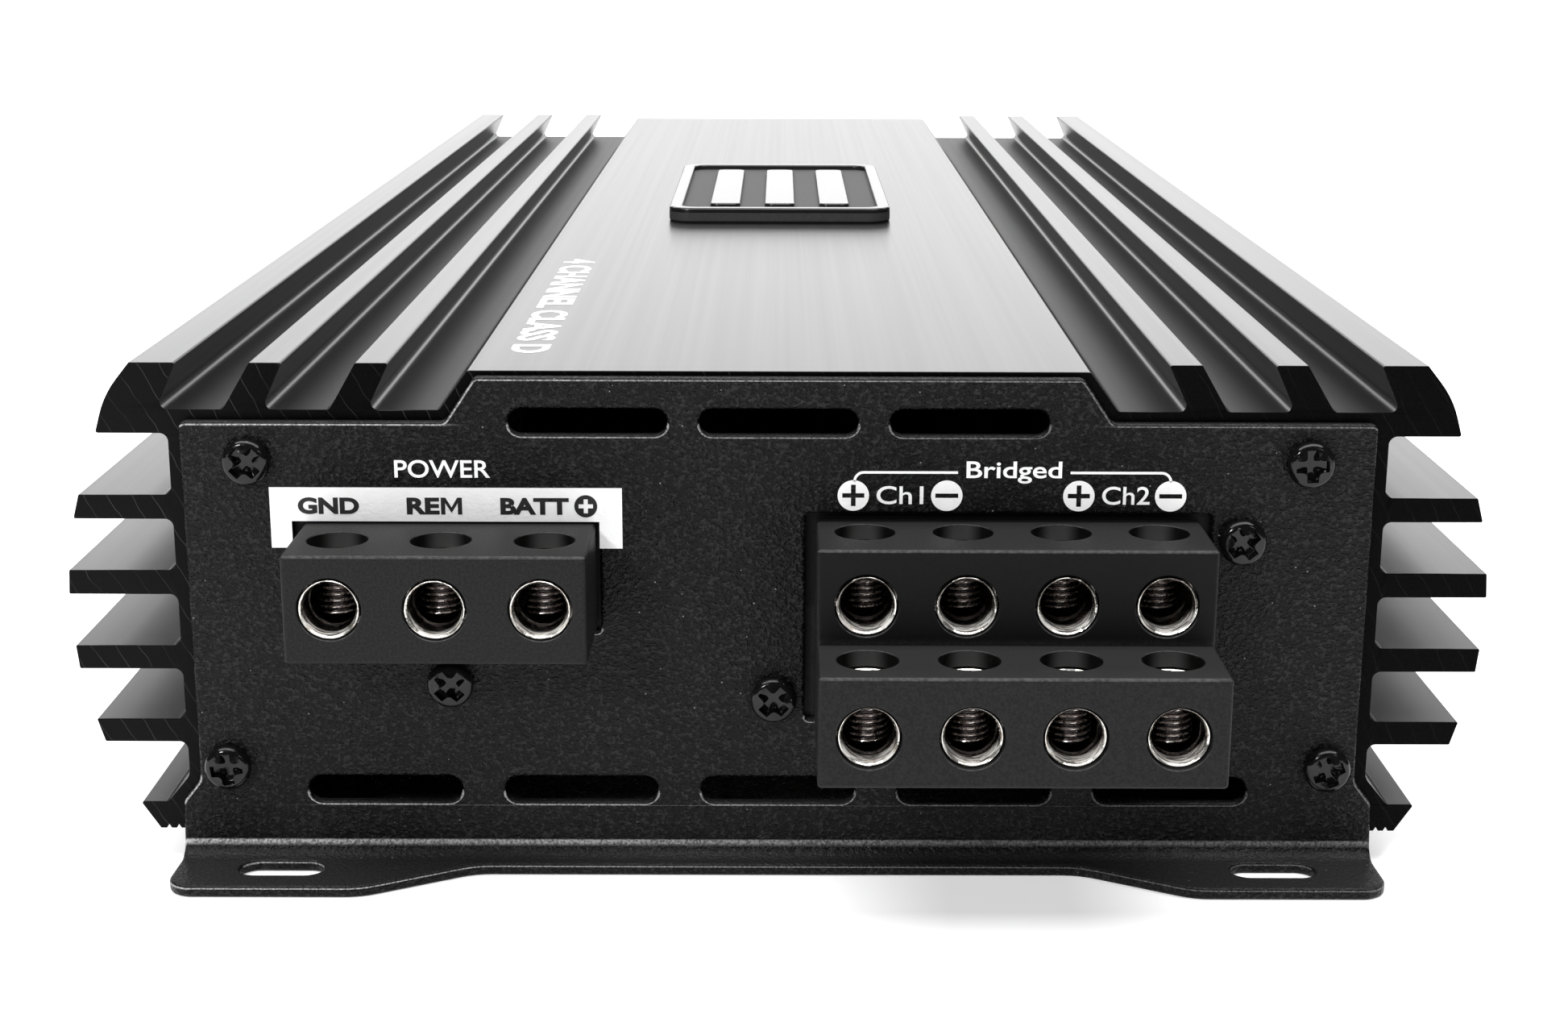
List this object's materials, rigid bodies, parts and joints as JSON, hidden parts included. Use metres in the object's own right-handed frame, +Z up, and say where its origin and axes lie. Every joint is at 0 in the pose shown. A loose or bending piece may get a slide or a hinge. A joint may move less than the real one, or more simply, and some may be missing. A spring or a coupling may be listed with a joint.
{
  "type": "car amplifier",
  "caption": "Finned aluminium car audio amplifier with bent steel end plates, slotted mounting flanges, screw terminal blocks, signal jacks and small controls.",
  "frame": {"origin": "bottom centre of the whole amplifier, on the plane of the mounting flanges' undersides", "axes": "+Z up, Y along the body with the power and speaker terminals at the -Y end, X across the body"},
  "size_m": [0.1692, 0.3664, 0.0638],
  "materials": {
    "anodised_aluminium": "black anodised, lengthwise extrusion lines, semi-gloss",
    "textured_steel": "black textured powder coat on bent sheet steel",
    "base_sheet": "black satin paint",
    "black_screw": "black oxide, glossy",
    "badge_black": "gloss black with a brushed face",
    "terminal_plastic": "dark grey, fine moulded grain",
    "plated_brass": "nickel plated, turned",
    "screw_steel": "zinc plated, threaded",
    "black_plastic": "black moulding",
    "white_plastic": "white moulding",
    "pot_blue": "blue thermoset moulding",
    "led_blue": "clear tinted epoxy",
    "led_red": "clear tinted epoxy",
    "circuit_board": "green solder mask over copper tracks",
    "bright_steel": "zinc plated",
    "ferrite": "dark sintered ferrite",
    "enamelled_copper": "varnished copper winding",
    "capacitor_sleeve": "shrunk sleeve, bare vented top",
    "epoxy_black": "moulded epoxy",
    "pad_grey": "soft silicone pad",
    "fuse_yellow": "translucent amber plastic"
  },
  "bodies": {
    "amplifier": {"heatsink": "anodised_aluminium", "base_plate": "base_sheet", "front_end_plate": "textured_steel", "rear_end_plate": "textured_steel", "front_plate_screws": "black_screw", "rear_plate_screws": "black_screw", "base_plate_screws": "black_screw", "badge": "badge_black", "power_terminal_housing": "terminal_plastic", "power_terminal_clamps": "plated_brass", "power_terminal_fixing_screw": "black_screw", "speaker_terminal_housing": "terminal_plastic", "speaker_terminal_clamps": "plated_brass", "speaker_terminal_fixing_screws": "black_screw", "rca_jack_housing": "black_plastic", "rca_jack_shells": "plated_brass", "rca_jack_insulators": "white_plastic", "rca_jack_contacts": "plated_brass", "potentiometer_bodies": "pot_blue", "slide_switch_bodies": "bright_steel", "power_led": "led_blue", "protect_led": "led_red", "main_circuit_board": "circuit_board", "control_board": "circuit_board", "board_connector": "black_plastic", "board_standoffs": "bright_steel", "board_screws": "bright_steel", "transformer_core": "ferrite", "transformer_winding": "enamelled_copper", "input_choke_core": "ferrite", "input_choke_winding": "enamelled_copper", "input_capacitors": "capacitor_sleeve", "rail_capacitors": "capacitor_sleeve", "power_transistors": "epoxy_black", "thermal_pads": "pad_grey", "transistor_clamp_bars": "bright_steel", "clamp_bar_screws": "bright_steel", "fuse_holders": "black_plastic", "blade_fuses": "fuse_yellow", "output_inductors": "enamelled_copper", "integrated_circuits": "epoxy_black"},
    "power_clamp_screw_1": {"power_clamp_screw_1": "screw_steel"},
    "power_clamp_screw_2": {"power_clamp_screw_2": "screw_steel"},
    "power_clamp_screw_3": {"power_clamp_screw_3": "screw_steel"},
    "speaker_clamp_screw_1": {"speaker_clamp_screw_1": "screw_steel"},
    "speaker_clamp_screw_2": {"speaker_clamp_screw_2": "screw_steel"},
    "speaker_clamp_screw_3": {"speaker_clamp_screw_3": "screw_steel"},
    "speaker_clamp_screw_4": {"speaker_clamp_screw_4": "screw_steel"},
    "speaker_clamp_screw_5": {"speaker_clamp_screw_5": "screw_steel"},
    "speaker_clamp_screw_6": {"speaker_clamp_screw_6": "screw_steel"},
    "speaker_clamp_screw_7": {"speaker_clamp_screw_7": "screw_steel"},
    "speaker_clamp_screw_8": {"speaker_clamp_screw_8": "screw_steel"},
    "front_level_knob": {"front_level_knob": "black_plastic"},
    "rear_level_knob": {"rear_level_knob": "black_plastic"},
    "high_pass_knob": {"high_pass_knob": "black_plastic"},
    "low_pass_knob": {"low_pass_knob": "black_plastic"},
    "bass_boost_knob": {"bass_boost_knob": "black_plastic"},
    "front_crossover_lever": {"front_crossover_lever": "white_plastic"},
    "rear_crossover_lever": {"rear_crossover_lever": "white_plastic"},
    "input_mode_lever": {"input_mode_lever": "white_plastic"}
  },
  "joints": [
    {"name": "power_clamp_screw_1_travel", "type": "slide", "parent": "amplifier", "child": "power_clamp_screw_1", "axis": [0, 0, 1], "range_m": [-0.0003, 0.0052]},
    {"name": "power_clamp_screw_2_travel", "type": "slide", "parent": "amplifier", "child": "power_clamp_screw_2", "axis": [0, 0, 1], "range_m": [-0.0003, 0.0052]},
    {"name": "power_clamp_screw_3_travel", "type": "slide", "parent": "amplifier", "child": "power_clamp_screw_3", "axis": [0, 0, 1], "range_m": [-0.0003, 0.0052]},
    {"name": "speaker_clamp_screw_1_travel", "type": "slide", "parent": "amplifier", "child": "speaker_clamp_screw_1", "axis": [0, 0, 1], "range_m": [-0.0003, 0.0052]},
    {"name": "speaker_clamp_screw_2_travel", "type": "slide", "parent": "amplifier", "child": "speaker_clamp_screw_2", "axis": [0, 0, 1], "range_m": [-0.0003, 0.0052]},
    {"name": "speaker_clamp_screw_3_travel", "type": "slide", "parent": "amplifier", "child": "speaker_clamp_screw_3", "axis": [0, 0, 1], "range_m": [-0.0003, 0.0052]},
    {"name": "speaker_clamp_screw_4_travel", "type": "slide", "parent": "amplifier", "child": "speaker_clamp_screw_4", "axis": [0, 0, 1], "range_m": [-0.0003, 0.0052]},
    {"name": "speaker_clamp_screw_5_travel", "type": "slide", "parent": "amplifier", "child": "speaker_clamp_screw_5", "axis": [0, 0, 1], "range_m": [-0.0003, 0.0052]},
    {"name": "speaker_clamp_screw_6_travel", "type": "slide", "parent": "amplifier", "child": "speaker_clamp_screw_6", "axis": [0, 0, 1], "range_m": [-0.0003, 0.0052]},
    {"name": "speaker_clamp_screw_7_travel", "type": "slide", "parent": "amplifier", "child": "speaker_clamp_screw_7", "axis": [0, 0, 1], "range_m": [-0.0003, 0.0052]},
    {"name": "speaker_clamp_screw_8_travel", "type": "slide", "parent": "amplifier", "child": "speaker_clamp_screw_8", "axis": [0, 0, 1], "range_m": [-0.0003, 0.0052]},
    {"name": "front_level_knob_turn", "type": "hinge", "parent": "amplifier", "child": "front_level_knob", "pos_m": [0.016, 0.17325, 0.039], "axis": [0, 1, 0], "range_deg": [-140, 140]},
    {"name": "rear_level_knob_turn", "type": "hinge", "parent": "amplifier", "child": "rear_level_knob", "pos_m": [0.016, 0.17325, 0.024], "axis": [0, 1, 0], "range_deg": [-140, 140]},
    {"name": "high_pass_knob_turn", "type": "hinge", "parent": "amplifier", "child": "high_pass_knob", "pos_m": [0, 0.17325, 0.039], "axis": [0, 1, 0], "range_deg": [-140, 140]},
    {"name": "low_pass_knob_turn", "type": "hinge", "parent": "amplifier", "child": "low_pass_knob", "pos_m": [0, 0.17325, 0.024], "axis": [0, 1, 0], "range_deg": [-140, 140]},
    {"name": "bass_boost_knob_turn", "type": "hinge", "parent": "amplifier", "child": "bass_boost_knob", "pos_m": [-0.033, 0.17325, 0.024], "axis": [0, 1, 0], "range_deg": [-140, 140]},
    {"name": "front_crossover_lever_slide", "type": "slide", "parent": "amplifier", "child": "front_crossover_lever", "axis": [1, 0, 0], "range_m": [-0.002, 0.002]},
    {"name": "rear_crossover_lever_slide", "type": "slide", "parent": "amplifier", "child": "rear_crossover_lever", "axis": [1, 0, 0], "range_m": [-0.002, 0.002]},
    {"name": "input_mode_lever_slide", "type": "slide", "parent": "amplifier", "child": "input_mode_lever", "axis": [1, 0, 0], "range_m": [-0.002, 0.002]}
  ]
}
